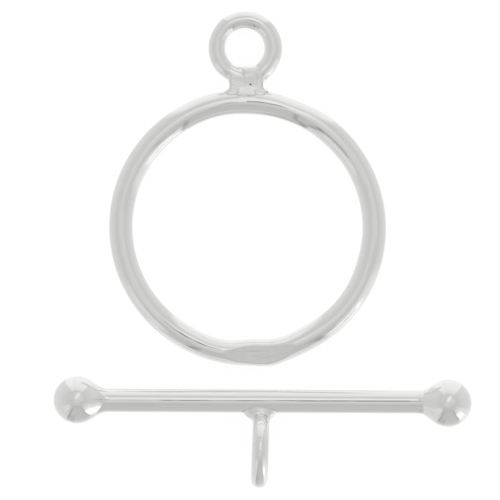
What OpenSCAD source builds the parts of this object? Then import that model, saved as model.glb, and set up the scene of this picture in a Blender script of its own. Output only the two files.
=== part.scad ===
// Toggle clasp: a wire ring with an attachment loop, and a ball-ended bar with a loop of its own.
// Millimetres, +Z up. Both pieces lie on the plane z = 0, the bar along X below the ring.

/* [Ring] */
// Outer diameter of the ring that the bar passes through
ring_od = 15; // [12:0.1:17]
// Thickness of the ring's wire
ring_wire = 1.26; // [1:0.02:1.6]
// Depth of the filed flat over the ring's closing joint
seam_depth = 0.12; // [0.04:0.01:0.2]
// Length of that flat along the ring
seam_length = 3.4; // [2:0.1:4.5]

/* [Bar] */
// Length of the bar over both balls
bar_length = 22.7; // [20:0.1:26]
// Thickness of the bar
bar_d = 1.24; // [1:0.02:1.5]
// Diameter of the balls on its ends
ball_d = 2.55; // [2.2:0.05:3.2]
// How much wider than the bar the collar under each ball is
collar_step = 0.08; // [0.04:0.01:0.2]
// Reach of the collar along the bar, from the ball's surface
collar_length = 0.26; // [0.2:0.01:0.5]
// Radius of the hollow curve from the collar up to the ball
collar_fillet = 0.3; // [0.2:0.02:0.4]

/* [Attachment loops] */
// Outer diameter of both loops
loop_od = 4; // [3.4:0.05:5]
// Thickness of the loops' wire
loop_wire = 0.92; // [0.7:0.02:1]
// Angle by which the ring's loop sits off the ring's top, anticlockwise
loop_lean = 0.7; // [-3:0.1:3]
// Place of the bar's loop along the bar, from the bar's middle
bar_loop_shift = -0.13; // [-0.6:0.01:0.6]

/* [Solder] */
// Space between the ring and its loop, filled by solder
ring_gap = 0.27; // [0.15:0.01:0.4]
// Width of the solder neck between them at its waist
ring_neck = 1.85; // [1.5:0.05:2.1]
// Space between the bar and its loop, filled by solder
bar_gap = 0.16; // [0.12:0.01:0.3]
// Width of the bar's solder neck at its waist, in the loop's plane
bar_neck = 0.9; // [0.8:0.02:1]
// Radius of the hollow curve from that neck out along the bar
saddle_fillet = 0.45; // [0.4:0.01:0.55]
// How far the solder's surface lies under the thinner wire's
solder_inset = 0.04; // [0.035:0.005:0.08]

/* [Layout] */
// Space between the ring's lower edge and the bar as they lie
lay_gap = 1.3; // [0.8:0.01:3]
// How far the ring lies to the left of the bar's middle
lay_shift = 0.82; // [0:0.01:1.5]

/* [Hidden] */
$fn = 96;

// Depth to which the solder's edge dips under the metal that it meets, so that the surfaces cross
bite = 0.03;
// Share of the solder's rounded rim that its flat web keeps
web_share = 0.9;

ring_or = ring_od / 2;
ring_wr = ring_wire / 2;
loop_or = loop_od / 2;
loop_wr = loop_wire / 2;
bar_r = bar_d / 2;
ball_r = ball_d / 2;
solder_r = min(loop_wire, ring_wire, bar_d) / 2 - solder_inset;

ring_loop_reach = ring_or + ring_gap + loop_or;
bar_loop_reach = bar_r + bar_gap + loop_or;
// The bar lies on its two balls and on its loop, which stands a little higher or lower than the bar
bar_loop_lift = asin((loop_or - ball_r) / bar_loop_reach);
ball_x = bar_length / 2 - ball_r;

// The layout is centred on the plane's origin
lay_top = ring_loop_reach * cos(loop_lean) + loop_or;
bar_below_ring = ring_or + lay_gap + bar_r;
lay_bottom = bar_below_ring + bar_loop_reach * cos(bar_loop_lift) + loop_or;
ring_y = (lay_bottom - lay_top) / 2;
bar_y = ring_y - bar_below_ring;

// Radius of the hollow curve that touches two circles, r_body at the origin and r_loop at reach
// above it, and leaves a neck of half width waist between itself and its mirror image.
function neck_along(r_body, r_loop, reach) = (reach ^ 2 + r_body ^ 2 - r_loop ^ 2) / (2 * reach);
function neck_slope(r_body, r_loop, reach) = (r_body - r_loop) / reach;
function neck_fillet(r_body, r_loop, reach, waist) =
    let (
        along = neck_along(r_body, r_loop, reach),
        slope = neck_slope(r_body, r_loop, reach),
        half_b = waist + along * slope - r_body,
        c = waist ^ 2 + along ^ 2 - r_body ^ 2
    )
    (-half_b - sqrt(half_b ^ 2 - slope ^ 2 * c)) / slope ^ 2;

// A closed round of wire in the XY plane
module wire_round(outer_r, wire_r) {
    rotate_extrude()
        translate([outer_r - wire_r, 0])
            circle(r = wire_r);
}

// Solder between a body of radius r_body at the origin and a loop at reach along +Y: two rounded
// rims that curve from one into the other, and a web that fills the space between them.
module solder_neck(r_body, body_core, reach, waist) {
    r_in = r_body - bite;
    loop_in = loop_or - bite;
    fillet = neck_fillet(r_in, loop_in, reach, waist);
    rim_x = waist + fillet;
    rim_y = neck_along(r_in, loop_in, reach) + neck_slope(r_in, loop_in, reach) * fillet;
    to_loop = atan2(reach - rim_y, -rim_x);
    to_body = atan2(-rim_y, -rim_x) + 360;
    for (side = [0, 1])
        mirror([side, 0, 0])
            translate([rim_x, rim_y, 0])
                rotate([0, 0, to_loop])
                    rotate_extrude(angle = to_body - to_loop)
                        translate([fillet + solder_r, 0])
                            circle(r = solder_r);
    translate([0, 0, -web_share * solder_r])
        linear_extrude(height = 2 * web_share * solder_r)
            difference() {
                polygon([[0, 0], [rim_x, rim_y], [0, reach], [-rim_x, rim_y]]);
                for (side = [-1, 1])
                    translate([side * rim_x, rim_y])
                        circle(r = fillet + solder_r);
                translate([0, reach])
                    circle(r = loop_or - loop_wr);
                if (body_core > 0)
                    circle(r = body_core);
            }
}

// Flat filed over the closing joint: a wide shallow scoop across the wire
module seam_cut() {
    file_r = (seam_length ^ 2 / 4 + seam_depth ^ 2) / (2 * seam_depth);
    translate([0, -ring_or + ring_wire + bite, ring_wr - seam_depth + file_r])
        rotate([90, 0, 0])
            cylinder(r = file_r, h = ring_wire + 2 * bite, $fn = 360);
}

module toggle_ring() {
    color("silver")
        translate([-lay_shift, ring_y, ring_wr]) {
            difference() {
                wire_round(ring_or, ring_wr);
                seam_cut();
            }
            rotate([0, 0, loop_lean]) {
                translate([0, ring_loop_reach, 0])
                    wire_round(loop_or, loop_wr);
                solder_neck(ring_or, ring_or - ring_wr, ring_loop_reach, ring_neck / 2);
            }
        }
}

// Ball with its collar, the bar leaving along +Z
module ball_end() {
    collar_r = bar_r + collar_step / 2;
    curve_r = collar_r + collar_fillet - bite / 2;
    curve_z = sqrt((ball_r + collar_fillet - bite / 2) ^ 2 - curve_r ^ 2);
    sphere(r = ball_r);
    cylinder(r = collar_r, h = sqrt(ball_r ^ 2 - collar_r ^ 2) + collar_length);
    rotate_extrude()
        difference() {
            polygon([[0, 0], [curve_r, curve_z], [0, curve_z]]);
            translate([curve_r, curve_z])
                circle(r = collar_fillet);
        }
}

// Solder that runs out along the bar on each side of its loop. The bar is along X, the loop along +Y.
module saddle() {
    horn_r = solder_r - bite;
    curve_x = solder_r - bite / 2 + saddle_fillet;
    curve_y = bar_r - bite + saddle_fillet;
    for (side = [0, 1])
        mirror([side, 0, 0])
            translate([curve_x, curve_y, 0])
                rotate([0, 0, 180])
                    rotate_extrude(angle = 90)
                        translate([saddle_fillet + horn_r, 0])
                            circle(r = horn_r);
}

module toggle_bar() {
    color("silver")
        translate([0, bar_y, ball_r]) {
            rotate([0, 90, 0])
                cylinder(r = bar_r, h = 2 * ball_x, center = true);
            for (side = [0, 1])
                mirror([side, 0, 0])
                    translate([-ball_x, 0, 0])
                        rotate([0, 90, 0])
                            ball_end();
            translate([bar_loop_shift, 0, 0])
                rotate([-bar_loop_lift, 0, 0])
                    mirror([0, 1, 0]) {
                        saddle();
                        rotate([0, 90, 0]) {
                            translate([0, bar_loop_reach, 0])
                                wire_round(loop_or, loop_wr);
                            solder_neck(bar_r, 0, bar_loop_reach, bar_neck / 2);
                        }
                    }
        }
}

toggle_ring();
toggle_bar();
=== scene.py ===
# %% [markdown]
# # A toggle clasp in polished sterling silver
# A toggle clasp closes a bracelet or a necklace. It is a wire ring and a ball-ended bar, each with a small
# loop soldered on for the chain. The bar is tipped, pushed through the ring and lies across it.
# Everything here is one bright metal, so the looks come from two things: the exact curve of each wire,
# because polished silver is a mirror, and the white tent that it mirrors. This lesson builds both from
# formulas. Lengths are in millimetres, and become metres only where Blender gets them.

# %% Load the frame
import math

import bpy
import numpy as np
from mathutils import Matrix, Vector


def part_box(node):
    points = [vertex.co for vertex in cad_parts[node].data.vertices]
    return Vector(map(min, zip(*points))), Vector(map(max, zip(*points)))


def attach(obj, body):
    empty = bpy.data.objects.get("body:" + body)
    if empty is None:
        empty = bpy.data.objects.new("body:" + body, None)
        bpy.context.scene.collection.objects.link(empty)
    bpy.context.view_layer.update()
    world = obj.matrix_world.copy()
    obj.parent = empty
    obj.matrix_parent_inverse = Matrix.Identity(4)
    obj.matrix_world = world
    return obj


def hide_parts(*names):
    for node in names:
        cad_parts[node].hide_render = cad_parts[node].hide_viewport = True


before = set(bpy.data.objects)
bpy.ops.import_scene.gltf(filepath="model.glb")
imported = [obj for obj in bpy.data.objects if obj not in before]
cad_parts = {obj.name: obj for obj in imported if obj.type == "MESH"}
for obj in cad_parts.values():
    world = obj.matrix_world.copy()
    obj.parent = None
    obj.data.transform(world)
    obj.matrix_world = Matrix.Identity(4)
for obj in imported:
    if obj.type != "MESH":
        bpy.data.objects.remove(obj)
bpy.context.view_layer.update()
MM = 0.001
ring_lo, ring_hi = (np.array(corner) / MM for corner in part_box("toggle_ring"))
bar_lo, bar_hi = (np.array(corner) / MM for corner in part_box("toggle_bar"))
print("ring node, mm:", ring_lo.round(3), ring_hi.round(3))
print("bar node, mm: ", bar_lo.round(3), bar_hi.round(3))

# %% [markdown]
# ## The camera
# The clasp is photographed from straight above. A long lens keeps the lines of sight nearly parallel, so
# that a round wire shows the same stripes of light wherever it lies in the picture. A short lens would do
# the framing as well, but it would lean the balls outwards.

# %% Camera above the pair
VIEW_WIDTH = 27.17
VIEW_CENTRE = (-0.68, -0.04)
VIEW_HEIGHT = 1.1
LENS = 400
SENSOR = 36
NEAREST = 10
FARTHEST = 3000

camera_data = bpy.data.cameras.new("camera")
camera_data.lens = LENS
camera_data.sensor_width = SENSOR
camera_data.clip_start = NEAREST * MM
camera_data.clip_end = FARTHEST * MM
camera = bpy.data.objects.new("camera", camera_data)
bpy.context.scene.collection.objects.link(camera)
camera_distance = VIEW_WIDTH * LENS / SENSOR
camera.location = (VIEW_CENTRE[0] * MM, VIEW_CENTRE[1] * MM, (VIEW_HEIGHT + camera_distance) * MM)
bpy.context.scene.camera = camera
bpy.context.scene.view_settings.view_transform = "Standard"
print("camera stands", round(camera_distance), "mm above the clasp")

# %% [markdown]
# ## Colours and nodes
# Colours are written as sRGB hex, the way a picture editor shows them, and one function turns them to
# linear light. Greys of the light tent go through the same formula. One helper adds a node, sets it, links
# it and gives back its output, so that a chain of nodes reads like a chain of sums.

# %% Colours in linear light
def to_linear(share):
    """The sRGB curve in words: a straight foot under 0.04045, and above it a shifted power of 2.4."""
    share = np.asarray(share, float)
    return np.where(share <= 0.04045, share / 12.92, ((share + 0.055) / 1.055) ** 2.4)


def colour(hex_code):
    """A hex colour as linear red, green, blue and full alpha."""
    channels = [int(hex_code[i:i + 2], 16) / 255 for i in (1, 3, 5)]
    return (*(float(c) for c in to_linear(channels)), 1.0)


print("#808080 is", round(colour("#808080")[0], 3), "in linear light")


# %% One helper for every node
def add(tree, kind, settings=(), inputs=(), out=0):
    """Adds one node and gives back one of its outputs, or all of them where out is None. settings are its
    properties. inputs are its sockets, each a value or an output to link."""
    node = tree.nodes.new(kind)
    for name, value in dict(settings).items():
        setattr(node, name, value)
    for socket, value in dict(inputs).items():
        if isinstance(value, bpy.types.NodeSocket):
            tree.links.new(value, node.inputs[socket])
        else:
            node.inputs[socket].default_value = value
    return node.outputs if out is None else node.outputs[out]


# The kinds of node and the settings that come up most
MATH = "ShaderNodeMath"
MAP_RANGE = "ShaderNodeMapRange"
MIX = "ShaderNodeMix"
TIMES = {"operation": "MULTIPLY"}
SIZE_OF = {"operation": "ABSOLUTE"}
LESS = {"operation": "SUBTRACT"}
SMOOTH = {"interpolation_type": "SMOOTHSTEP"}
NUMBERS = {"data_type": "FLOAT"}
COLOURS = {"data_type": "RGBA"}
print("a colour mix takes its colours at sockets 6 and 7, a number mix its numbers at 2 and 3")

# %% [markdown]
# ## The light tent
# Small polished jewellery is photographed inside a white tent. The tent could be built from emitting
# sheets, but then they would show in other views. Here it is the world itself, worked out from the
# direction of each mirrored ray: the azimuth, counted anticlockwise from +X, and the angle down from the
# zenith. A panel is a stretch of azimuth with its own run of greys from the top to the ground. The greys
# are those that the metal shows, so they are divided by what silver reflects.

# %% Directions in the tent
world = bpy.data.worlds.new("light_tent")
bpy.context.scene.world = world
world.use_nodes = True
world.cycles.sampling_method = "NONE"
sky = world.node_tree
sky.nodes.clear()

direction = add(sky, "ShaderNodeTexCoord", out="Object")
east, north, up = add(sky, "ShaderNodeSeparateXYZ", {}, {0: direction}, None)
azimuth = add(sky, MATH, {"operation": "ARCTAN2"}, {0: north, 1: east})
azimuth = add(sky, MATH, {"operation": "DEGREES"}, {0: azimuth})
zenith = add(sky, MATH, {"operation": "ARCCOSINE"}, {0: up})
zenith = add(sky, MATH, {"operation": "DEGREES"}, {0: zenith})
zenith_share = add(sky, MATH, {"operation": "DIVIDE"}, {0: zenith, 1: 180})
print("azimuth and zenith angle take", len(sky.nodes), "nodes")

# %% A panel's place and its greys
# What the finished silver reflects
SILVER_REFLECTS = 0.93


def window(value, middle, half, soft, turns=False):
    """1 within half of the middle, and a smooth fall to 0 over the soft width beyond it. turns is for an
    azimuth, which starts again after a full turn."""
    off = add(sky, MATH, LESS, {0: value, 1: middle})
    if turns:
        off = add(sky, MATH, {"operation": "WRAP"}, {0: off, 1: 180, 2: -180})
    off = add(sky, MATH, SIZE_OF, {0: off})
    past = add(sky, MATH, LESS, {0: off, 1: half})
    return add(sky, MAP_RANGE, SMOOTH, {0: past, 1: 0, 2: soft, 3: 1, 4: 0})


def grey(level):
    """A mirrored grey of 0 to 255 as the light that makes silver show it: its linear value, divided by what
    silver reflects."""
    return float(to_linear(level / 255)) / SILVER_REFLECTS


def grey_run(stops):
    """Greys along the angle from the zenith, between the given angles a straight mix."""
    greys = add(sky, "ShaderNodeValToRGB", {}, {0: zenith_share})
    ramp = greys.node.color_ramp
    while len(ramp.elements) < len(stops):
        ramp.elements.new(0.5)
    for element, (angle, level) in zip(ramp.elements, stops):
        element.position = angle / 180
        element.color = (grey(level), grey(level), grey(level), 1)
    return greys


print("a shown grey of 200 needs light of", round(grey(200), 3))

# %% Greys of the walls and panels
SIDE_WALLS = [(0, 203), (12, 202), (22, 199), (31, 196), (43, 195), (50, 198), (60, 201), (75, 204),
              (90, 208), (110, 211), (130, 215), (160, 226), (180, 240)]
# A panel's half width changes evenly between these two angles from the zenith
TOP_AT = 33
LOW_AT = 100
# Each panel: middle azimuth, half width at the upper and at the lower of those angles, soft edge, the angles
# where it starts and where it is full, and its greys from the top to the ground. A later one covers an
# earlier one.
PANELS = {
    "near ceiling": (270, 46, 46, 8, 22, 29, [
        (22, 200), (29, 190), (33, 188), (42, 190), (50, 197), (60, 201), (75, 204), (90, 208), (110, 211),
        (160, 226), (180, 240)]),
    "upper half": (90, 62, 62, 25, 26, 38, [
        (30, 203), (38, 202), (46, 197), (60, 203), (75, 207), (90, 210), (110, 213), (140, 219),
        (165, 230), (180, 240)]),
    "far wall": (87.5, 27, 33.5, 7, 46, 53, [
        (46, 213), (60, 222), (75, 229), (90, 233), (110, 236), (150, 242), (180, 250)]),
    "fold in the far wall": (98, 1, 2, 3, 46, 54, [
        (46, 212), (60, 219), (80, 226), (110, 234), (150, 242), (180, 250)]),
    "fold by the left edge": (237, 6, 5, 4, 28, 36, [
        (28, 194), (36, 187), (62, 188), (75, 198), (90, 207), (110, 211), (160, 226), (180, 240)]),
    "near left": (219, 9, 10, 7, 37, 43, [
        (37, 202), (43, 204), (48, 208), (56, 215), (72, 214), (90, 209), (110, 211), (160, 228),
        (180, 240)]),
    "near right": (320, 16, 18, 9, 18, 28, [
        (18, 198), (28, 192), (38, 195), (50, 208), (62, 216), (90, 222), (110, 224), (150, 230),
        (180, 242)]),
    "fold by the right edge": (304, 5, 3, 4, 26, 34, [
        (26, 194), (34, 188), (58, 190), (68, 206), (78, 218), (110, 224), (150, 230), (180, 242)]),
    "lamp": (315.5, 8, 8, 7, 60, 76, [
        (60, 232), (76, 250), (90, 256), (103, 252), (114, 240), (136, 234), (180, 242)]),
    "near opening": (272.5, 28, 28, 4, 29, 34, [
        (30, 184), (38, 185), (46, 189), (80, 190), (98, 191), (110, 195), (122, 199), (131, 206),
        (142, 218), (155, 228), (180, 238)]),
    "fold in the opening": (252, 1, 8, 4, 72, 90, [
        (72, 186), (98, 180), (122, 184), (131, 196), (142, 214), (155, 228), (180, 238)]),
    "left edge": (242, 0.7, 0.9, 2.5, 28, 40, [
        (28, 186), (44, 174), (56, 158), (104, 158), (120, 178), (131, 206), (150, 226), (180, 238)]),
    "right edge": (303, 0.5, 0.6, 2.2, 28, 40, [
        (28, 186), (44, 172), (58, 160), (100, 164), (112, 190), (124, 212), (150, 226), (180, 238)]),
}
# The opening's edges lean, so their middle azimuth changes too, from the first value to the second
LEANING = {"left edge": (247, 242), "right edge": (300, 303.5)}
print("the walls carry", len(PANELS), "panels")

# %% Hanging the panels
tone = grey_run(SIDE_WALLS)
for name, (middle, half_top, half_low, soft, start, full, stops) in PANELS.items():
    on_the_way = {0: zenith, 1: TOP_AT, 2: LOW_AT}
    if name in LEANING:
        middle_top, middle_low = LEANING[name]
        middle = add(sky, MAP_RANGE, {}, {**on_the_way, 3: middle_top, 4: middle_low})
    half = add(sky, MAP_RANGE, {}, {**on_the_way, 3: half_top, 4: half_low})
    below_start = add(sky, MAP_RANGE, SMOOTH, {0: zenith, 1: start, 2: full, 3: 0, 4: 1})
    share = window(azimuth, middle, half, soft, turns=True)
    share = add(sky, MATH, TIMES, {0: share, 1: below_start})
    tone = add(sky, MIX, NUMBERS, {0: share, 2: tone, 3: grey_run(stops)})
print("the walls take", len(sky.nodes), "nodes")

# %% [markdown]
# Above the walls the tent is a ceiling of cloth. It could be one even grey, but the tops of the wires show
# soft changes of tone, so it has patches. One round softbox shines through it, a little behind the clasp.

# %% Patches on the ceiling
# Each patch: middle and half width along X, middle and half depth along Y, soft edge, grey. Places are
# parts of a direction's length, so 0.17 along Y is ten degrees from the zenith.
CEILING = {
    "near half": (0.0, 0.9, -0.55, 0.14, 0.09, 189),
    "right side": (0.40, 0.18, 0.10, 0.18, 0.10, 206),
    "near left side": (-0.31, 0.16, -0.23, 0.14, 0.09, 194),
    "near right side": (0.31, 0.16, -0.23, 0.14, 0.09, 194),
    "light line": (0.0, 0.30, -0.13, 0.02, 0.05, 207),
}
CEILING_FULL_TO = 24
CEILING_ENDS_AT = 38

ceiling = {0: zenith, 1: CEILING_FULL_TO, 2: CEILING_ENDS_AT, 3: 1, 4: 0}
above_walls = add(sky, MAP_RANGE, SMOOTH, ceiling)
for x, half_x, y, half_y, soft, level in CEILING.values():
    share = {0: window(east, x, half_x, soft), 1: window(north, y, half_y, soft)}
    share = add(sky, MATH, TIMES, share)
    share = add(sky, MATH, TIMES, {0: share, 1: above_walls})
    tone = add(sky, MIX, NUMBERS, {0: share, 2: tone, 3: grey(level)})
print("the ceiling has", len(CEILING), "patches")

# %% The round softbox
# It hangs at a slant, so its middle moves along X as a direction goes north
SOFTBOX_MIDDLE = (0.07, 0.36)
SOFTBOX_HALF = (0.30, 0.42)
SOFTBOX_LEAN = 0.4
SOFTBOX_FULL_TO = 0.1
SOFTBOX_GREY = 232

off_x, off_y = (add(sky, MAP_RANGE, {"clamp": False},
                    {0: axis, 1: middle, 2: middle + half, 3: 0, 4: 1})
                for axis, middle, half in zip((east, north), SOFTBOX_MIDDLE, SOFTBOX_HALF))
slant = -SOFTBOX_LEAN * SOFTBOX_HALF[1] / SOFTBOX_HALF[0]
slant = add(sky, MATH, TIMES, {0: off_y, 1: slant})
off_x = add(sky, MATH, {"operation": "ADD"}, {0: off_x, 1: slant})
off = add(sky, "ShaderNodeCombineXYZ", {}, {0: off_x, 1: off_y})
off = add(sky, "ShaderNodeVectorMath", {"operation": "LENGTH"}, {0: off}, "Value")
share = add(sky, MAP_RANGE, SMOOTH, {0: off, 1: SOFTBOX_FULL_TO, 2: 1, 3: 1, 4: 0})
tone = add(sky, MIX, NUMBERS, {0: share, 2: tone, 3: grey(SOFTBOX_GREY)})
print("the softbox's middle is at", SOFTBOX_MIDDLE)

# %% [markdown]
# The clasp lies on an opal sheet that is lit from below, which is how a pack shot gets its clean white
# ground. One world for every ray would turn that ground as grey as the tent. So each kind of ray gets its
# own light: mirrored rays see the tent, the sheet's own rays see an even sky, and the camera sees the
# white room behind the sheet's far edge.

# %% World output
SKY_ON_SHEET = 1.0
ROOM_WHITE = colour("#FFFFFF")[0]

kind_of_ray = add(sky, "ShaderNodeLightPath", out=None)
for kind, light in {"Is Diffuse Ray": SKY_ON_SHEET, "Is Camera Ray": ROOM_WHITE}.items():
    tone = add(sky, MIX, NUMBERS, {0: kind_of_ray[kind], 2: tone, 3: light})
tent = add(sky, "ShaderNodeBackground", {}, {"Color": tone})
add(sky, "ShaderNodeOutputWorld", {}, {"Surface": tent}, None)
print("the light tent has", len(sky.nodes), "nodes")

# %% [markdown]
# ## The sheet
# A sheet of opal acrylic, far wider than any view needs. It could be white card, but card needs bright
# lamps, and they leave shadows. Most of the opal's white comes from the light below it, and the rest from
# the tent, so the clasp leaves only a faint shade where it touches. The metal mirrors the tent's lower half
# in its place, which is the sheet's tone as it falls off towards each wall.

# %% Opal acrylic, lit from below
def flat_sheet(name, half_x, half_y, height):
    """A flat rectangle of the given half sizes round the origin, at the given height."""
    corners = [(-half_x, -half_y), (half_x, -half_y), (half_x, half_y), (-half_x, half_y)]
    mesh = bpy.data.meshes.new(name)
    mesh.from_pydata([(x * MM, y * MM, height * MM) for x, y in corners], [], [(0, 1, 2, 3)])
    flat = bpy.data.objects.new(name, mesh)
    bpy.context.scene.collection.objects.link(flat)
    return flat


def empty_material(name):
    """A material and its node tree, with nothing in it yet."""
    material = bpy.data.materials.new(name)
    material.use_nodes = True
    material.node_tree.nodes.clear()
    return material, material.node_tree


SHEET_REACH = 1500
SHEET_DROP = 0.02
LIGHT_THROUGH = 0.93
OPAL = "#525252"

sheet = flat_sheet("opal_sheet", SHEET_REACH, SHEET_REACH, -SHEET_DROP)
sheet.visible_glossy = False

opal, tree = empty_material("opal_acrylic_lit_from_below")
matt = add(tree, "ShaderNodeBsdfDiffuse", {}, {"Color": colour(OPAL)})
glow = add(tree, "ShaderNodeEmission", {}, {"Color": colour("#FFFFFF"), "Strength": LIGHT_THROUGH})
both = add(tree, "ShaderNodeAddShader", {}, {0: matt, 1: glow})
add(tree, "ShaderNodeOutputMaterial", {}, {"Surface": both}, None)
sheet.data.materials.append(opal)
print("the sheet lies", SHEET_DROP, "mm under the clasp")

# %% [markdown]
# Between the ring and the bar the lit sheet is so near that both mirror it, as a light line along their
# rims. A world knows directions and no places, so it can't hold what is near. So that strip of the sheet is
# laid down once more, for mirrored rays only, and fades out at its edges.

# %% The near strip of the sheet
STRIP_MIDDLE = (-0.8, -7.45)
STRIP_HALF = (6.4, 1.75)
STRIP_FADE = (2.5, 0.35)
STRIP_GREY = 226

near_strip = flat_sheet("near_strip", STRIP_HALF[0] + STRIP_FADE[0], STRIP_HALF[1] + STRIP_FADE[1], 0)
near_strip.location = (STRIP_MIDDLE[0] * MM, STRIP_MIDDLE[1] * MM, -SHEET_DROP / 2 * MM)
near_strip.visible_camera = near_strip.visible_diffuse = near_strip.visible_shadow = False

near_opal, tree = empty_material("opal_acrylic_near")
place = add(tree, "ShaderNodeTexCoord", out="Object")
axes = add(tree, "ShaderNodeSeparateXYZ", {}, {0: place}, None)
share = 1
for axis, half, fade in zip(axes, STRIP_HALF, STRIP_FADE):
    off = add(tree, MATH, SIZE_OF, {0: axis})
    limits = {0: off, 1: half * MM, 2: (half + fade) * MM, 3: 1, 4: 0}
    inside = add(tree, MAP_RANGE, SMOOTH, limits)
    share = add(tree, MATH, TIMES, {0: share, 1: inside})
lit = add(tree, "ShaderNodeEmission", {}, {"Color": (grey(STRIP_GREY),) * 3 + (1,)})
clear = add(tree, "ShaderNodeBsdfTransparent")
both = add(tree, "ShaderNodeMixShader", {}, {0: share, 1: clear, 2: lit})
add(tree, "ShaderNodeOutputMaterial", {}, {"Surface": both}, None)
near_strip.data.materials.append(near_opal)
print("the near strip is", 2 * STRIP_HALF[0], "by", 2 * STRIP_HALF[1], "mm inside its fading edges")

# %% [markdown]
# ## Silver
# Sterling silver, drawn to wire, soldered and polished by hand on a cloth wheel. Real silver reflects about
# 95 parts in 100 and hardly tints. The wheel leaves it a near mirror with a faint pull along the wire
# and slow ripples, which bend the mirrored lines a little. The solder is a shade greyer and less smooth.
# One even roughness would be simpler, but it would look like chrome plate.
#
# A pattern along the wire needs to know where the wire runs, so each piece carries an attribute, lay: its
# first two numbers run across the wire and the third along it, in millimetres, shortened so that one even
# noise comes out as long streaks. A second attribute, solder, is 1 where solder covers the wire.

# %% Sizes of the polish
# Real polishing lines are about 0.01 mm wide. They are drawn wider, so that the picture can show them.
STREAK_WIDTH = 0.07
RIPPLE_LENGTH = 1.6
PIT_SPACING = 0.16
# In the attribute lay, lengths along a wire are shortened to this share
LAY_SHARE = 0.05
STREAKS = {"Scale": 1 / STREAK_WIDTH, "Detail": 2.0, "Roughness": 0.5}
RIPPLES = {"Scale": 1 / (RIPPLE_LENGTH * MM), "Detail": 1.0, "Roughness": 0.4}
PITS = {"Scale": 1 / (PIT_SPACING * MM), "Detail": 3.0, "Roughness": 0.6}
STREAK_HEIGHT = 0.002
STREAK_STRENGTH = 0.35
RIPPLE_HEIGHT = 0.012
PIT_HEIGHT = 0.006
# Where a noise has most of its values, and the roughness of wire and solder at those two ends
NOISE_LOW = 0.3
NOISE_HIGH = 0.7
WIRE_ROUGHNESS = (0.05, 0.09)
SOLDER_ROUGHNESS = (0.14, 0.26)
WIRE_SILVER = "#F8F8F7"
SOLDER_SILVER = "#F5F5F4"
print("streaks are", STREAK_WIDTH, "mm wide and", round(STREAK_WIDTH / LAY_SHARE, 1), "mm long")

# %% [markdown]
# Short dark lines along the wires are painted into the metal's colour. Most are painted reflections, which
# darken the wires where the tent's dark edges are mirrored. The few on the ring's closing joint are the
# file's own marks.
# They could be painted on an image, but it would blur in a near view. Each mark is a formula of the attribute
# lay instead, so it stays sharp and follows its wire.

# %% Marks of painted dark reflection, and file marks
# Each mark: where it starts and ends along the wire, where across the wire it lies at its start and at its
# end, half width, soft edge, and how dark. Along the ring 0 is opposite its loop, and both ends of the
# shortened arc, at 1.08 and -1.08, meet under the loop. A mark near 5 lies on the loop itself.
RING_MARKS = [
    # Along the top
    (1.04, 1.075, -0.01, -0.01, 0.012, 0.03, 1.0),
    (0.985, 1.01, -0.01, -0.02, 0.010, 0.03, 0.7),
    (-1.036, -1.016, -0.01, -0.01, 0.012, 0.03, 0.5),
    # To the left of the closing joint, darkest in the middle
    (-0.25, -0.20, -0.09, -0.09, 0.008, 0.03, 0.45),
    (-0.19, -0.14, -0.09, -0.09, 0.008, 0.03, 0.9),
    (-0.13, -0.09, -0.09, -0.09, 0.008, 0.03, 0.55),
    # Slanting ones at the upper right and upper left, painted reflections of the tent's dark edges
    (0.76, 0.85, -0.20, -0.24, 0.01, 0.07, 0.32),
    (0.86, 0.90, -0.25, -0.50, 0.02, 0.09, 0.32),
    (-0.87, -0.80, -0.38, -0.20, 0.02, 0.08, 0.24),
    # The file's own, on the closing joint
    (0.01, 0.02, -0.15, -0.16, 0.02, 0.06, 0.14),
    (0.025, 0.03, 0.11, 0.12, 0.015, 0.05, 0.16),
    (0.04, 0.05, 0.24, 0.26, 0.01, 0.05, 0.14),
    # On the ring's loop
    (5.210, 5.228, -0.01, -0.01, 0.004, 0.03, 0.6),
    (5.205, 5.216, -0.23, -0.25, 0.01, 0.06, 0.25),
]
# Along the bar 0 is its middle
BAR_MARKS = [
    (-0.44, -0.26, 0.055, 0.055, 0.004, 0.025, 0.4),
    (-0.26, 0.0, 0.048, 0.048, 0.006, 0.025, 0.9),
    (0.03, 0.08, 0.070, 0.070, 0.004, 0.025, 1.0),
    (0.11, 0.415, 0.057, 0.074, 0.015, 0.025, 0.82),
]
# A mark fades over this shortened length at both ends
MARK_FADE = 0.03
# The streaks break a mark up: it keeps the third value's share up to the first value, and is whole from the
# second on
MARK_BREAKS = (0.34, 0.50, 0.35)
# The grey of the marks: painted dark reflections, and on the closing joint file marks
DARK_MARK_AND_PAINTED_REFLECTION = "#6E6E6C"
print(len(RING_MARKS), "marks on the ring and", len(BAR_MARKS), "on the bar")


# %% Mixing the marks in
def band(tree, value, low, high, soft):
    """1 from low to high, and a smooth fall to 0 over the soft width on each side: a rise times a fall."""
    rise = add(tree, MAP_RANGE, SMOOTH, {0: value, 1: low - soft, 2: low, 3: 0, 4: 1})
    fall = add(tree, MAP_RANGE, SMOOTH, {0: value, 1: high, 2: high + soft, 3: 1, 4: 0})
    return add(tree, MATH, TIMES, {0: rise, 1: fall})


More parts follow.
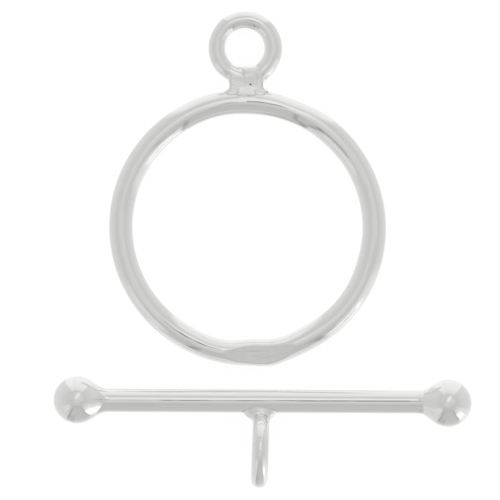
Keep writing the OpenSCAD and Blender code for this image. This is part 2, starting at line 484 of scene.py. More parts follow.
def with_marks(tree, across, above, along, streaks, marks, tint):
    """The tint with the marks' dark grey mixed in by each mark's share, as painted dark reflections and file
    marks: a band across the wire, times a band along it, times the streaks, on the upper side of the wire
    alone."""
    low, high, kept = MARK_BREAKS
    broken = add(tree, MAP_RANGE, {}, {0: streaks, 1: low, 2: high, 3: kept, 4: 1})
    on_top = add(tree, MATH, {"operation": "GREATER_THAN"}, {0: above, 1: 0})
    mark_shows = add(tree, MATH, TIMES, {0: broken, 1: on_top})
    for start, end, first, last, half, soft, darkness in marks:
        middle = add(tree, MAP_RANGE, {}, {0: along, 1: start, 2: end, 3: first, 4: last})
        off = add(tree, MATH, LESS, {0: across, 1: middle})
        line = band(tree, off, -half, half, soft)
        reach = band(tree, along, start, end, MARK_FADE)
        reach = add(tree, MATH, TIMES, {0: reach, 1: darkness})
        line = add(tree, MATH, TIMES, {0: line, 1: reach})
        line = add(tree, MATH, TIMES, {0: line, 1: mark_shows})
        # Painted dark reflection lines and file marks darken the tint
        tint = add(tree, MIX, COLOURS, {0: line, 6: tint, 7: colour(DARK_MARK_AND_PAINTED_REFLECTION)}, 2)
    return tint


print("a mark fades out over", round(MARK_FADE / LAY_SHARE, 1), "mm at its ends")

# %% [markdown]
# Two things are the ring's alone. A fine ridge runs along its top under the loop, where the wheel came from
# both sides. And the solder that holds the loop has one pinhole, where a bubble of flux burst. Its dark is
# painted shade. Both are only two or three of the mesh's quads wide, so they are bumps in the material.

# %% Ridge and pinhole
# The ridge's place across the wire, and the shortened arc where it starts and where it would end
RIDGE_ACROSS = -0.03
RIDGE_WIDTH = 0.07
RIDGE_HEIGHT = 0.007
RIDGE_ARC = (0.98, 1.2)
PINHOLE = (-0.65, 8.955)
PINHOLE_SIZE = 0.055
PINHOLE_TURN = math.radians(40)
PINHOLE_COUNTS = (0.7, 1.3)
PINHOLE_DEPTH = 0.03
# Painted shade in the pinhole
PINHOLE_PAINTED_SHADE = "#747472"


def with_ridge(tree, across, along, normal):
    """The ridge rises and falls across the wire, and fades out at 16 to 21 degrees from the loop."""
    ridge = band(tree, across, RIDGE_ACROSS, RIDGE_ACROSS, RIDGE_WIDTH)
    arc = add(tree, MATH, SIZE_OF, {0: along})
    near_loop = band(tree, arc, *RIDGE_ARC, MARK_FADE)
    ridge = add(tree, MATH, TIMES, {0: ridge, 1: near_loop})
    bump = {"Strength": 1.0, "Distance": RIDGE_HEIGHT * MM, "Height": ridge, "Normal": normal}
    return add(tree, "ShaderNodeBump", {}, bump)


def with_pinhole(tree, place, solder, tint, normal):
    """A dent on the solder alone, darkened with painted shade, longer than wide: 1 near its middle, and a
    smooth fall to 0 with the distance from it, which counts less along the fleck than across it."""
    middle = (PINHOLE[0] * MM, PINHOLE[1] * MM, 0)
    turn = {"Vector": place, "Center": middle, "Angle": PINHOLE_TURN}
    off = add(tree, "ShaderNodeVectorRotate", {"rotation_type": "Z_AXIS"}, turn)
    off = add(tree, "ShaderNodeVectorMath", LESS, {0: off, 1: middle})
    stretch = (PINHOLE_COUNTS[0] / MM, PINHOLE_COUNTS[1] / MM, 0)
    off = add(tree, "ShaderNodeVectorMath", TIMES, {0: off, 1: stretch})
    off = add(tree, "ShaderNodeVectorMath", {"operation": "LENGTH"}, {0: off}, "Value")
    limits = {0: off, 1: 0.4 * PINHOLE_SIZE, 2: 1.2 * PINHOLE_SIZE, 3: 1, 4: 0}
    hole = add(tree, MAP_RANGE, SMOOTH, limits)
    hole = add(tree, MATH, TIMES, {0: hole, 1: solder})
    # The pinhole's painted shade
    tint = add(tree, MIX, COLOURS, {0: hole, 6: tint, 7: colour(PINHOLE_PAINTED_SHADE)}, 2)
    bump = {"Strength": 1.0, "Distance": PINHOLE_DEPTH * MM, "Height": hole, "Normal": normal}
    return tint, add(tree, "ShaderNodeBump", {"invert": True}, bump)


print("the ridge is", 1000 * RIDGE_HEIGHT, "thousandths of a mm high")

# %% [markdown]
# With these the metal is put together. Its roughness and its bumps are what the wheel left, and its tint is
# silver's own nearly white, with painted dark reflections, file marks and painted shade laid over it. A
# metal's tint is what it reflects, so no other colour is needed.

# %% The wheel's polish
def wheel_polish(tree, solder, streaks, ripple, pits):
    """Roughness and normal of the skin. The wire's roughness grows with the streaks and the solder's with the
    pits. The normal takes a bump from the ripple, one from the streaks, and on solder one from the pits."""
    ends = ((streaks, WIRE_ROUGHNESS), (pits, SOLDER_ROUGHNESS))
    wire_rough, solder_rough = (
        add(tree, MAP_RANGE, {}, {0: noise, 1: NOISE_LOW, 2: NOISE_HIGH, 3: smooth, 4: dull})
        for noise, (smooth, dull) in ends)
    rough = add(tree, MIX, NUMBERS, {0: solder, 2: wire_rough, 3: solder_rough})
    under = {}
    for strength, height, noise in ((1.0, RIPPLE_HEIGHT, ripple), (STREAK_STRENGTH, STREAK_HEIGHT, streaks),
                                    (solder, PIT_HEIGHT, pits)):
        bump = {"Strength": strength, "Distance": height * MM, "Height": noise, **under}
        normal = add(tree, "ShaderNodeBump", {}, bump)
        under = {"Normal": normal}
    return rough, normal


print("roughness", WIRE_ROUGHNESS, "on the wire and", SOLDER_ROUGHNESS, "on solder")

# %% Sterling silver, hand polished
# Painted shade darkens the solder's hollow edge, in patches: its range on the attribute solder and its soft
# width, then the pits' values between which a patch grows, and its share at most
SOLDER_EDGE = (0.45, 0.6, 0.2)
EDGE_PATCHES = (0.45, 0.62, 0.4)
SOLDER_EDGE_PAINTED_SHADE = "#9A9A98"


def polished_silver(name, marks, loop_soldered_flat):
    """Sterling silver, hand polished, with its marks of painted dark reflection and file marks.
    loop_soldered_flat adds the ridge and the pinhole, which only the ring has."""
    metal, tree = empty_material(name)
    lay = add(tree, "ShaderNodeAttribute", {"attribute_name": "lay"}, out="Vector")
    solder = add(tree, "ShaderNodeAttribute", {"attribute_name": "solder"}, out="Fac")
    place = add(tree, "ShaderNodeTexCoord", out="Object")
    across, above, along = add(tree, "ShaderNodeSeparateXYZ", {}, {0: lay}, None)
    streaks = add(tree, "ShaderNodeTexNoise", {}, {"Vector": lay, **STREAKS})
    ripple = add(tree, "ShaderNodeTexNoise", {}, {"Vector": place, **RIPPLES})
    pits = add(tree, "ShaderNodeTexNoise", {}, {"Vector": place, **PITS})

    rough, normal = wheel_polish(tree, solder, streaks, ripple, pits)
    tint = {0: solder, 6: colour(WIRE_SILVER), 7: colour(SOLDER_SILVER)}
    tint = add(tree, MIX, COLOURS, tint, 2)
    tint = with_marks(tree, across, above, along, streaks, marks, tint)
    low, high, most = EDGE_PATCHES
    patchy = add(tree, MAP_RANGE, {}, {0: pits, 1: low, 2: high, 3: 0, 4: most})
    edge = add(tree, MATH, TIMES, {0: band(tree, solder, *SOLDER_EDGE), 1: patchy})
    # Painted shade along the solder's hollow edge
    tint = add(tree, MIX, COLOURS, {0: edge, 6: tint, 7: colour(SOLDER_EDGE_PAINTED_SHADE)}, 2)
    if loop_soldered_flat:
        normal = with_ridge(tree, across, along, normal)
        tint, normal = with_pinhole(tree, place, solder, tint, normal)
    skin = {"Base Color": tint, "Metallic": 1.0, "Roughness": rough, "Normal": normal}
    skin = add(tree, "ShaderNodeBsdfPrincipled", {}, skin)
    add(tree, "ShaderNodeOutputMaterial", {}, {"Surface": skin}, None)
    print(name, "has", len(tree.nodes), "nodes")
    return metal


ring_silver = polished_silver("sterling_silver_ring_hand_polished", RING_MARKS, True)
bar_silver = polished_silver("sterling_silver_bar_hand_polished", BAR_MARKS, False)

# %% [markdown]
# ## How a soldered piece is made
# A wire ring is a torus, and a ball-ended bar is turned: both are grids of two parameters. Where solder
# joins them no grid fits, because the surface branches. So each piece is made in three steps. The grids are
# put down as closed tubes. The Remesh modifier fuses them into one even skin. Then every vertex slides to
# where a distance formula is zero, and that formula holds the true wires, the solder's hollow curves and
# the file marks. The formula's slope also gives each vertex its exact normal, which a mirror needs.

# %% Grids of wire and turned forms
# A turned form ends in a hole of this radius, too small to see, so that its last quads keep four corners
THIN_END = 0.001


def wire_loop(centre, side, outwards, radius, wire_radius, steps=120, around=24):
    """A closed round of wire. The wire's middle circles the centre in the plane of side and outwards, and a
    second circle of the wire's radius is carried along it."""
    a = np.linspace(0, 2 * np.pi, steps, endpoint=False)[:, None, None]
    b = np.linspace(0, 2 * np.pi, around, endpoint=False)[None, :, None]
    spoke = np.cos(a) * np.asarray(side, float) + np.sin(a) * np.asarray(outwards, float)
    axis = np.cross(side, outwards)
    return centre + spoke * (radius + wire_radius * np.cos(b)) + axis * wire_radius * np.sin(b)


def turned(places, radii, centre, around=32):
    """A turned form: radius radii[i] at places[i] along X, carried round the axis through the centre."""
    b = np.linspace(0, 2 * np.pi, around, endpoint=False)[None, :]
    x = places[:, None] + 0 * b
    radii = np.maximum(radii, THIN_END)[:, None]
    return np.stack([x, radii * np.cos(b), radii * np.sin(b)], -1) + centre


def barrel(half_length, radius, power, centre):
    """A turned barrel that fills a solder joint. Its radius is the root of one less a power of the place, as
    a share of the half length, so a high power gives straight sides."""
    places = np.linspace(-half_length, half_length, 31)
    return turned(places, radius * np.sqrt(1 - (places / half_length) ** power), centre)


print("a wire loop's grid:", wire_loop(np.zeros(3), (1, 0, 0), (0, 1, 0), 2, 0.5).shape)


# %% Turning grids into meshes
def grid_faces(rows, columns, first, rows_close):
    """Quads of a grid whose columns close on themselves, and whose rows do too if rows_close."""
    i, j = np.meshgrid(np.arange(rows if rows_close else rows - 1), np.arange(columns), indexing="ij")
    down, right = (i + 1) % rows, (j + 1) % columns
    quads = np.stack([i * columns + j, down * columns + j, down * columns + right, i * columns + right], -1)
    return quads.reshape(-1, 4) + first


def mesh_from(name, points, faces):
    """A mesh of the given points and quads, put in as whole arrays."""
    mesh = bpy.data.meshes.new(name)
    mesh.vertices.add(len(points))
    mesh.vertices.foreach_set("co", points.astype(np.float32).ravel())
    mesh.loops.add(faces.size)
    mesh.loops.foreach_set("vertex_index", faces.astype(np.int32).ravel())
    mesh.polygons.add(len(faces))
    mesh.polygons.foreach_set("loop_start", np.arange(0, faces.size, 4, dtype=np.int32))
    mesh.update(calc_edges=True)
    return mesh


print("quads of a closed grid of 120 by 24:", len(grid_faces(120, 24, 0, True)))

# %% Fusing the grids into one skin
VOXEL = 0.055


def fuse(name, grids):
    """The closed grids as one even skin of quads of about the voxel's size."""
    points, faces, first = [], [], 0
    for grid, rows_close in grids:
        rows, columns = grid.shape[:2]
        points.append(grid.reshape(-1, 3))
        faces.append(grid_faces(rows, columns, first, rows_close))
        first += rows * columns
    rough = bpy.data.objects.new(name, mesh_from(name, np.concatenate(points), np.concatenate(faces)))
    bpy.context.scene.collection.objects.link(rough)
    remesh = rough.modifiers.new("fuse", "REMESH")
    remesh.mode = "VOXEL"
    remesh.voxel_size = VOXEL
    skin = bpy.data.meshes.new_from_object(rough.evaluated_get(bpy.context.evaluated_depsgraph_get()))
    bpy.data.objects.remove(rough)
    co = np.zeros(len(skin.vertices) * 3, np.float32)
    skin.vertices.foreach_get("co", co)
    corner = np.zeros(len(skin.loops), np.int32)
    skin.loops.foreach_get("vertex_index", corner)
    assert len(corner) == 4 * len(skin.polygons)
    print(name, "is fused into", len(skin.polygons), "quads")
    return co.reshape(-1, 3).astype(float), corner.reshape(-1, 4)


# %% Sliding the skin onto the formula
def slope(field, points, step=1e-4):
    """The formula's slope at each point, from its values a small step to each side."""
    sides = np.eye(3) * step
    return np.stack([field(points + s) - field(points - s) for s in sides], -1) / (2 * step)


def settle(points, faces, field, rounds=6):
    """Slides the vertices to where the field is zero. Each round first evens the skin, moving a vertex half
    way to the middle of its neighbours, and then takes two steps along the slope, as Newton's method does.
    The last round only takes the two steps."""
    start = faces.ravel()
    end = np.roll(faces, -1, axis=1).ravel()
    count = np.bincount(start, minlength=len(points)) + np.bincount(end, minlength=len(points))
    for turn in range(rounds):
        if turn < rounds - 1:
            near = np.stack([np.bincount(start, points[end, k], len(points))
                             + np.bincount(end, points[start, k], len(points)) for k in range(3)], -1)
            points = 0.5 * points + 0.5 * near / count[:, None]
        for _ in range(2):
            away = slope(field, points)
            points = points - away * (field(points) / (away ** 2).sum(-1))[:, None]
    away = slope(field, points)
    print("the skin is within", f"{np.abs(field(points)).max():.0e}", "mm of its formula")
    return points, away / np.linalg.norm(away, axis=-1, keepdims=True)


# %% [markdown]
# A distance formula says how far a point is outside a form, and is below zero inside it. Simple forms have
# simple formulas, and two of them are joined or cut by taking the smaller or the larger value. Solder and
# file round such a meeting, and so do the formulas here.

# %% Distances to simple forms
def from_loop(p, centre, axis, radius, wire_radius):
    """Distance to a round of wire: how far the point is from the wire's middle circle, less its radius."""
    q = p - centre
    height = q @ np.asarray(axis, float)
    reach = np.sqrt(np.maximum((q ** 2).sum(-1) - height ** 2, 1e-12))
    return np.hypot(reach - radius, height) - wire_radius


def from_egg(p, centre, half_sizes):
    """Distance to an egg of the given half sizes, near its surface: the scaled radius less one, made even."""
    q = (p - centre) / half_sizes
    scaled = np.linalg.norm(q, axis=-1) + 1e-9
    return scaled * (scaled - 1) / (np.linalg.norm(q / half_sizes, axis=-1) + 1e-9)


def from_block(p, centre, sides, half_sizes, edge):
    """Distance to a block with rounded edges: how far the point is outside the block shrunk by the edge's
    radius, less that radius."""
    q = np.abs((p - centre) @ np.transpose(sides)) - (np.asarray(half_sizes) - edge)
    return np.linalg.norm(np.maximum(q, 0), axis=-1) + np.minimum(q.max(-1), 0) - edge


corner_of_block = from_block(np.array([1.0, 1.0, 1.0]), (0, 0, 0), np.eye(3), (1, 1, 1), 0.1)
print("a rounded edge of 0.1 mm takes", round(float(corner_of_block), 3), "mm off a block's corner")


# %% Joining and cutting
def joined(a, b, hollow):
    """Two distances joined, with a hollow curve where they meet: the smaller one, less a square that grows
    as the two come within the hollow's width of each other."""
    return np.minimum(a, b) - np.maximum(hollow - np.abs(a - b), 0) ** 2 / (4 * hollow)


def cut(a, b, round_edge):
    """Distance a with distance b taken away, its edge rounded."""
    return -joined(-a, b, round_edge)


def bell(value, width):
    """1 at 0, and down to nearly nothing at twice the width, as a bell curve."""
    return np.exp(-(value / width) ** 2)


print("a hollow of 0.1 mm adds", round(-joined(0.0, 0.0, 0.1), 3), "mm where two surfaces cross")

# %% [markdown]
# ## The ring with its loop
# On the bench a length of 1.26 mm wire is bent round, its ends are soldered and filed flat, and the loop is
# soldered on opposite that joint. The loop is seen flat, as the ring is. The solder has filled the corner
# on both sides, run down over the ring in a tongue, and left one pinhole. Two toruses pushed into each other
# would show a hard crease there, so both wires and the solder go into one formula.

# %% Sizes of the ring, placed from the frame
RING_WIRE = 1.26
RING_OD = float(ring_hi[0] - ring_lo[0])
LOOP_WIRE = 0.92
LOOP_OD = 4.0
LOOP_LEAN = math.radians(0.7)
UP = np.array([0, 0, 1.0])
EAST = np.array([1.0, 0, 0])
SOUTH = np.array([0, -1.0, 0])
ring_wr = RING_WIRE / 2
loop_wr = LOOP_WIRE / 2
ring_r = RING_OD / 2 - ring_wr
loop_r = LOOP_OD / 2 - loop_wr
ring_c = np.array([(ring_lo[0] + ring_hi[0]) / 2, ring_lo[1] + RING_OD / 2, ring_wr])
loop_reach = (ring_hi[1] - LOOP_OD / 2 - ring_c[1]) / math.cos(LOOP_LEAN)
loop_out = np.array([-math.sin(LOOP_LEAN), math.cos(LOOP_LEAN), 0])
loop_side = np.array([math.cos(LOOP_LEAN), math.sin(LOOP_LEAN), 0])
ring_loop_c = ring_c + loop_reach * loop_out
print("ring centre", ring_c.round(3), "loop centre", ring_loop_c.round(3))

# %% [markdown]
# A ring bent by hand is a hair longer one way than the other, and wider where it was hammered or soldered.
# Its closing joint is filed in a shallow scoop across the wire, and the wheel has flattened the inner slope
# of its top a little, which leaves a ridge along it. None of this is over a fifth of a millimetre, but a
# mirror shows it, and a perfect torus looks like a drawing. So the wire's radius and thickness are sums of
# bells along it, and the scoop is cut out.

# %% What hand work did to the ring's wire
RING_SHIFT = (0.004, 0.018, 0)
OUT_OF_ROUND = 0.027
LONG_WAY = math.radians(150)
ROUND_MORE = 0.016
WIRE_MORE = 0.006
SEAM_ANGLE = math.radians(275.7)
SEAM_HALF = 1.98
SEAM_DEPTH = 0.20
SEAM_TILT = math.radians(9.5)
SEAM_RIPPLE = 0.0015
SEAM_RIPPLES = 12
SEAM_EDGE = 0.025
FACET_LEAN = math.radians(27)
FACET_DEPTH = 0.014
FACET_REACH = 3.2
FACET_EDGE = 0.015
# The loop's wire is thicker where its ends meet
LOOP_THICKER = 0.015
LOOP_THICK_AT = math.radians(330)
# Where the ring's wire is wider, or narrower below zero: angle, reach, how far inwards, how far outwards
WIDER = [(272, 0.95, 0.15, 0.0), (280, 0.75, 0.0, 0.11), (301, 1.3, 0.09, -0.04), (75, 2.2, 0.05, 0.0),
         (69, 1.1, 0.0, -0.11), (110, 1.2, 0.0, 0.03), (238, 1.6, 0.02, -0.01), (45, 1.2, 0.03, 0.0),
         (90, 1.0, 0.035, 0.0), (135, 1.2, 0.03, 0.0), (254, 1.0, -0.04, 0.0), (345, 1.4, 0.03, 0.0)]
# And the loop's, on its outer side: angle, reach, how far outwards
LOOP_WIDER = [(306, 0.3, 0.06), (236, 0.4, -0.04), (125, 0.4, 0.03)]
print("the scoop is", 2 * SEAM_HALF, "mm long and", SEAM_DEPTH, "mm deep")


# %% The ring's wire and its loop's, as distances
def arc_from(turn, angle, radius):
    """The arc from the given angle: the angle between, taken the short way round, times the radius."""
    return radius * ((turn - angle + np.pi) % (2 * np.pi) - np.pi)


def swelling(turn, radius, places):
    """The sum of bells along a round wire, each given by its angle, its reach and its height."""
    return sum(height * bell(arc_from(turn, math.radians(angle), radius), reach)
               for angle, reach, height in places)


def ring_wire(p):
    """The ring's wire: a round of wire whose radius and thickness change along it, with two cuts."""
    q = p - ring_c - RING_SHIFT
    turn = np.arctan2(q[..., 1], q[..., 0])
    inwards = swelling(turn, ring_r, [(angle, reach, far_in) for angle, reach, far_in, _ in WIDER])
    outwards = swelling(turn, ring_r, [(angle, reach, far_out) for angle, reach, _, far_out in WIDER])
    wide = ring_wr + WIRE_MORE + (inwards + outwards) / 2
    radius = ring_r + ROUND_MORE + OUT_OF_ROUND * np.cos(2 * (turn - LONG_WAY)) + (outwards - inwards) / 2
    reach = np.hypot(q[..., 0], q[..., 1]) - radius
    wire = np.hypot(reach, q[..., 2] * wide / ring_wr) - wide

    lean = reach * math.sin(SEAM_TILT) + q[..., 2] * math.cos(SEAM_TILT)
    off_seam = arc_from(turn, SEAM_ANGLE, ring_r)
    scoop = ring_wr - SEAM_DEPTH * (1 - (off_seam / SEAM_HALF) ** 2)
    scoop = scoop + SEAM_RIPPLE * np.cos(SEAM_RIPPLES * off_seam)
    wire = cut(wire, scoop - lean, SEAM_EDGE)

    lean = -reach * math.sin(FACET_LEAN) + q[..., 2] * math.cos(FACET_LEAN)
    facet = wide - FACET_DEPTH * bell(arc_from(turn, np.pi / 2, ring_r), FACET_REACH)
    return cut(wire, facet - lean, FACET_EDGE)


def ring_loop_wire(p):
    """The loop's wire: a round of wire that is thicker and thinner by turns, mostly on its outer side."""
    q = p - ring_loop_c
    turn = np.arctan2(q[..., 1], q[..., 0])
    thicker = LOOP_THICKER * np.cos(turn - LOOP_THICK_AT)
    swell = swelling(turn, loop_r, LOOP_WIDER) / 2
    reach = np.hypot(q[..., 0], q[..., 1]) - loop_r + thicker - swell
    return np.hypot(reach, q[..., 2]) - loop_wr - thicker - swell


outer_right = ring_c + [RING_OD / 2, 0, 0]
print("the ring's right side stands", round(-1000 * float(ring_wire(outer_right))), "thousandths of a mm out")

# %% [markdown]
# The solder is a plug between ring and loop with filed flat faces, a tongue that ran down over the ring, a
# patch that ran up over the loop, and a fill inside the loop's foot. They could be sculpted, but a formula
# keeps its sizes. Each is a block or an egg in the loop's own frame, joined to the metal with a hollow curve.

# %% Sizes of the solder
# Places are across, outwards and up from the middle of the ring
PLUG_MIDDLE = (0.03, 7.70, 0.0)
PLUG_HALF = (0.955, 0.60, 0.472)
PLUG_EDGE = 0.14
PLUG_TILT = math.radians(2)
PLUG_TO_RING = 0.07
PLUG_TO_LOOP = 0.10
# The plug's waist and its flare: by what share it is narrower or wider, where, and over what reach
WAIST, WAIST_AT, WAIST_REACH = 0.05, 7.78, 0.3
FLARE, FLARE_AT, FLARE_REACH = 0.20, 7.38, 0.15
TONGUE_MIDDLE = (0.04, 7.27, 0.246)
TONGUE_HALF = (0.50, 0.30, 0.25)
TONGUE_EDGE = 0.12
TONGUE_TILT = math.radians(9)
TONGUE_HOLLOW = 0.12
PATCH_MIDDLE = (0.26, 8.23, 0.280)
PATCH_HALF = (0.42, 0.47, 0.19)
PATCH_EDGE = 0.17
PATCH_TILT = math.radians(-5)
PATCH_HOLLOW = 0.08
FILL_MIDDLE = (0.05, 8.62, 0.0)
FILL_HALF = np.array([0.62, 0.15, 0.28])
FILL_HOLLOW = 0.12
print("the solder's patch is", 2 * PATCH_HALF[0], "by", 2 * PATCH_HALF[1], "mm")

# %% The ring, its loop and their solder as one distance
frame_of_loop = np.stack([loop_side, loop_out, UP])


def leaning(tilt):
    """The three axes of a block that is tilted to face outwards by the given angle."""
    return np.array([[1, 0, 0], [0, math.cos(tilt), -math.sin(tilt)], [0, math.sin(tilt), math.cos(tilt)]])


def ring_field(p):
    """The ring, the loop and their solder as one distance: zero on the metal's surface."""
    q = (p - ring_c) @ frame_of_loop.T
    narrow = 1 + WAIST * bell(q[..., 1] - WAIST_AT, WAIST_REACH)
    narrow = narrow - FLARE * bell(q[..., 1] - FLARE_AT, FLARE_REACH)
    squeezed = np.stack([q[..., 0] * narrow, q[..., 1], q[..., 2]], -1)
    plug = from_block(squeezed, PLUG_MIDDLE, leaning(PLUG_TILT), PLUG_HALF, PLUG_EDGE)
    tongue = from_block(q, TONGUE_MIDDLE, leaning(TONGUE_TILT), TONGUE_HALF, TONGUE_EDGE)
    patch = from_block(q, PATCH_MIDDLE, leaning(PATCH_TILT), PATCH_HALF, PATCH_EDGE)
    fill = from_egg(q, FILL_MIDDLE, FILL_HALF)
    metal = joined(ring_wire(p), plug, PLUG_TO_RING)
    metal = joined(metal, tongue, TONGUE_HOLLOW)
    metal = joined(metal, ring_loop_wire(p), PLUG_TO_LOOP)
    metal = joined(metal, patch, PATCH_HOLLOW)
    return joined(metal, fill, FILL_HOLLOW)


plug_middle = ring_c + np.array(PLUG_MIDDLE) @ frame_of_loop
print("the plug's middle lies", round(-float(ring_field(plug_middle)), 2), "mm deep in the metal")

# %% [markdown]
# A finished skin gets the formula's normals and the two attributes that the silver reads. Shade Smooth alone
# would take its normals from the quads, and a mirror would show their pattern. The lay is worked out from
# each vertex's place on its own wire. On the small loops it is counted round 5, so that the marks of the
# long wires don't fall on them.

# %% Dressing a skin
LOOP_LAY = np.array([0, 0, 5.0])
# A vertex this far off both wires lies wholly on solder
SOLDER_SHOWS = 0.03


def lay_of_loop(p, centre, side, outwards, radius):
    """Across the wire: outwards from its middle, and off its plane. Along it: the shortened arc."""
    q = p - centre
    x, y = q @ side, q @ outwards
    axis = np.cross(side, outwards)
    return np.stack([np.hypot(x, y) - radius, q @ axis, LAY_SHARE * radius * np.arctan2(x, -y)], -1)


def dress(name, skin, lay, solder, metal):
    """The finished piece: metres, smooth faces, the formula's own normals, two attributes and the silver."""
    points, faces, normals = skin
    mesh = mesh_from(name, points * MM, faces)
    mesh.polygons.foreach_set("use_smooth", np.ones(len(faces), bool))
    mesh.normals_split_custom_set_from_vertices(normals)
    lay_numbers = mesh.attributes.new("lay", "FLOAT_VECTOR", "POINT").data
    lay_numbers.foreach_set("vector", lay.astype(np.float32).ravel())
    solder_numbers = mesh.attributes.new("solder", "FLOAT", "POINT").data
    solder_numbers.foreach_set("value", solder.astype(np.float32))
    mesh.materials.append(metal)
    piece = bpy.data.objects.new(name, mesh)
    bpy.context.scene.collection.objects.link(piece)
    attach(piece, "root")
    print(name, "has", 2 * len(faces), "triangles and spans, mm:", points.min(0).round(3),
          points.max(0).round(3))
    return piece


# %% The ring as one piece
# The barrel in the joint: half length, radius and power, and how far its middle is from the ring
PLUG_BARREL = (0.9, 0.4, 6)
PLUG_BARREL_OUT = 0.14
# The filed flat is a little dull, where it faces the file's way within 16 degrees
SEAM_DULL = 0.2
SEAM_FACES = 0.96

plug_c = ring_c + (RING_OD / 2 + PLUG_BARREL_OUT) * loop_out
ring_points, ring_faces = fuse("ring_rough", [
    (wire_loop(ring_c, loop_side, loop_out, ring_r, ring_wr, 360), True),
    (wire_loop(ring_loop_c, loop_side, loop_out, loop_r, loop_wr), True),
    (barrel(*PLUG_BARREL, plug_c), False),
])
ring_points, ring_normals = settle(ring_points, ring_faces, ring_field)
wire, loop = ring_wire(ring_points), ring_loop_wire(ring_points)
ring_solder = np.clip(np.minimum(wire, loop) / SOLDER_SHOWS, 0, 1)
turn = np.arctan2(ring_points[:, 1] - ring_c[1], ring_points[:, 0] - ring_c[0])
filed = ring_normals @ (UP * math.cos(SEAM_TILT) + SOUTH * math.sin(SEAM_TILT)) > SEAM_FACES
at_seam = np.abs(arc_from(turn, SEAM_ANGLE, ring_r)) < SEAM_HALF
ring_solder = np.maximum(ring_solder, SEAM_DULL * (filed & at_seam))
ring_lay = np.where((wire < loop)[:, None], lay_of_loop(ring_points, ring_c, loop_side, loop_out, ring_r),
                    lay_of_loop(ring_points, ring_loop_c, loop_side, loop_out, loop_r) + LOOP_LAY)
ring_skin = (ring_points, ring_faces, ring_normals)
ring_piece = dress("toggle_ring_skin", ring_skin, ring_lay, ring_solder, ring_silver)
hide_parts("toggle_ring")

# %% [markdown]
# ## The bar with its balls and loop
# The bar is a straight wire of about 1.25 mm. Its balls are soldered on, each with a short hollow neck where
# the bar enters. The loop is soldered across the bar's middle, so from above it shows edge on, with a saddle
# of solder that has spread along the bar. The balls sit a hair off the bar's axis, and the bar lies a third
# of a degree off square, as hand-set pieces do. A turned groove runs round it by the right ball. A lathe's
# profile would do for bar and balls, but not for the saddle, so the bar is made as the ring is.

# %% Sizes of the bar, placed from the frame
BAR_D = 1.255
BAR_SHIFT = (0, 0.013, 0)
BAR_SKEW = math.radians(-0.33)
BAR_TAPER = 0.0014
BALL_D = 2.55
BALL_SHIFTS = (0.08, -0.105)
NECK_LEFT = 0.55
NECK_RIGHT = 0.53
GROOVE_PLACE = 8.72
GROOVE_DEPTH = 0.035
GROOVE_WIDTH = 0.07
BAR_LOOP_WIRE = 0.9
BAR_LOOP_PLACE = -0.13
LOOP_YAW = math.radians(1.8)
bar_r = BAR_D / 2
ball_r = BALL_D / 2
ball_x = bar_hi[0] - ball_r
bar_c = np.array([0, bar_hi[1] - ball_r, ball_r])
bar_axis = np.array([math.cos(BAR_SKEW), math.sin(BAR_SKEW), 0])
bar_loop_c = np.array([BAR_LOOP_PLACE, bar_lo[1] + LOOP_OD / 2, bar_hi[2] - LOOP_OD / 2])
loop_axis = np.array([math.cos(LOOP_YAW), -math.sin(LOOP_YAW), 0])
loop_away = (bar_loop_c - bar_c) * [0, 1, 1]
loop_away = loop_away / np.linalg.norm(loop_away)
print("bar axis through", bar_c.round(3), "loop centre", bar_loop_c.round(3))

# %% The bar, its loop and their solder as distances
SADDLE_HALF = np.array([0.85, 0.42, 0.42])
SADDLE_TO_BAR = 0.2
SADDLE_TO_LOOP = 0.30


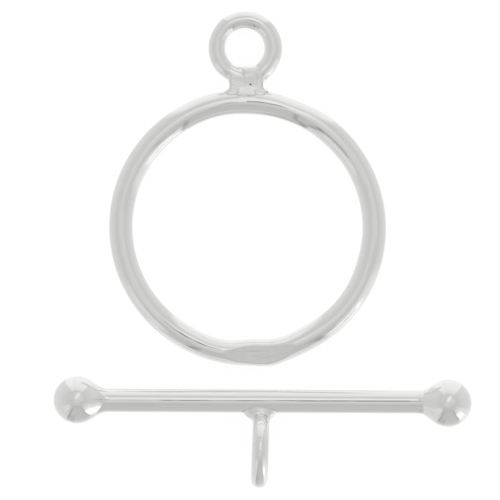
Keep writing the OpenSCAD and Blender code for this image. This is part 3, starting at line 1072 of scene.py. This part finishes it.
def bar_metal(p):
    """The bar with its balls, and the loop, as two distances."""
    q = p - bar_c
    along = q @ bar_axis
    off_axis = q - BAR_SHIFT - along[..., None] * bar_axis
    groove = GROOVE_DEPTH * bell(along - GROOVE_PLACE, GROOVE_WIDTH)
    bar = np.linalg.norm(off_axis, axis=-1) - bar_r + groove + BAR_TAPER * np.maximum(along, 0)
    left = np.linalg.norm(q - [-ball_x, BALL_SHIFTS[0], 0], axis=-1) - ball_r
    right = np.linalg.norm(q - [ball_x, BALL_SHIFTS[1], 0], axis=-1) - ball_r
    inside = np.maximum(bar, np.abs(along) - ball_x)
    body = joined(joined(inside, left, NECK_LEFT), right, NECK_RIGHT)
    return body, from_loop(p, bar_loop_c, loop_axis, loop_r, BAR_LOOP_WIRE / 2)


def bar_field(p):
    """The bar, its loop and their solder as one distance: zero on the metal's surface."""
    bar, loop = bar_metal(p)
    saddle_c = np.array([bar_loop_c[0], bar_c[1], bar_c[2]]) + bar_r * loop_away
    saddle = from_egg(p, saddle_c, SADDLE_HALF)
    return joined(joined(bar, saddle, SADDLE_TO_BAR), loop, SADDLE_TO_LOOP)


print("the saddle reaches", SADDLE_HALF[0], "mm along the bar on each side")

# %% The bar as one piece
SADDLE_BARREL = (0.7, 0.36, 4)
SADDLE_BARREL_OUT = 0.1

ends = ball_x + ball_r * np.sin(np.linspace(0, np.pi / 2, 16))
places = np.concatenate([-ends[::-1], np.linspace(-ball_x, ball_x, 150)[1:-1], ends])
off_centre = np.abs(np.abs(places) - ball_x)
ball_radii = np.sqrt(np.maximum(ball_r ** 2 - off_centre ** 2, 0))
radii = np.maximum(ball_radii, np.where(np.abs(places) < ball_x, bar_r, 0))
loop_up = np.cross(EAST, loop_away)
saddle_c = bar_c + [bar_loop_c[0], 0, 0] + (bar_r + SADDLE_BARREL_OUT) * loop_away
bar_points, bar_faces = fuse("bar_rough", [
    (turned(places, radii, bar_c), False),
    (wire_loop(bar_loop_c, loop_away, loop_up, loop_r, loop_wr), True),
    (barrel(*SADDLE_BARREL, saddle_c), False),
])
bar_points, bar_normals = settle(bar_points, bar_faces, bar_field)
bar, loop = bar_metal(bar_points)
bar_solder = np.clip(np.minimum(bar, loop) / SOLDER_SHOWS, 0, 1)
bar_lay = (bar_points - bar_c) @ np.stack([np.cross(UP, bar_axis), UP, LAY_SHARE * bar_axis], -1)
bar_lay = np.where((bar < loop)[:, None], bar_lay,
                   lay_of_loop(bar_points, bar_loop_c, loop_up, loop_away, loop_r) + LOOP_LAY)
bar_skin = (bar_points, bar_faces, bar_normals)
bar_piece = dress("toggle_bar_skin", bar_skin, bar_lay, bar_solder, bar_silver)
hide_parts("toggle_bar")
